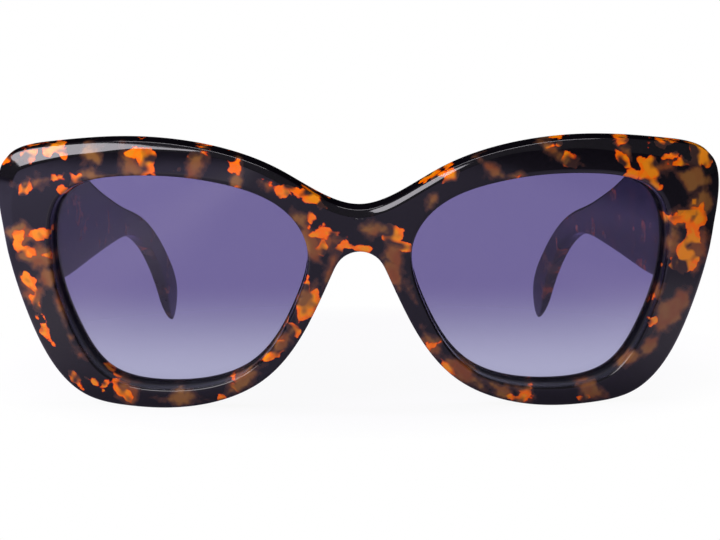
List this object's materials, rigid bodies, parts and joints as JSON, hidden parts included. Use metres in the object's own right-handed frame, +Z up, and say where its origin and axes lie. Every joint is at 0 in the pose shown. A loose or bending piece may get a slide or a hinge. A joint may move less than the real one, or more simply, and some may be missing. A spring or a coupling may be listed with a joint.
{
  "type": "cat eye sunglasses",
  "caption": "Oversized cat eye sunglasses with a thick tortoiseshell acetate front, bowed gradient lenses and wide temples that fold on barrel hinges.",
  "frame": {"origin": "on the table, at the middle of the overall box, with the temples open", "axes": "+Z up, the front faces -Y, the temples run back along +Y, and the wearer's left is +X"},
  "size_m": [0.1462, 0.1464, 0.0556],
  "materials": {
    "front_acetate": "polished tortoiseshell acetate",
    "temple_acetate": "polished tortoiseshell acetate",
    "lens": "polished, tint fading towards the bottom",
    "hinge_metal": "satin nickel silver",
    "screw_metal": "bright",
    "core_wire": "drawn wire"
  },
  "bodies": {
    "front_assembly": {"front": "front_acetate", "lens_left": "lens", "lens_right": "lens", "nose_pad_left": "front_acetate", "nose_pad_right": "front_acetate", "front_hinge_left": "hinge_metal", "front_hinge_right": "hinge_metal", "hinge_screw_left": "screw_metal", "hinge_screw_right": "screw_metal"},
    "left_temple_assembly": {"temple_left": "temple_acetate", "temple_hinge_left": "hinge_metal", "temple_core_left": "core_wire"},
    "right_temple_assembly": {"temple_right": "temple_acetate", "temple_hinge_right": "hinge_metal", "temple_core_right": "core_wire"}
  },
  "joints": [
    {"name": "left_temple_fold", "type": "hinge", "parent": "front_assembly", "child": "left_temple_assembly", "pos_m": [0.06564, -0.0534, 0.04012], "axis": [0, 0, 1], "range_deg": [0, 80]},
    {"name": "right_temple_fold", "type": "hinge", "parent": "front_assembly", "child": "right_temple_assembly", "pos_m": [-0.06564, -0.0534, 0.04012], "axis": [0, 0, -1], "range_deg": [0, 66]}
  ]
}
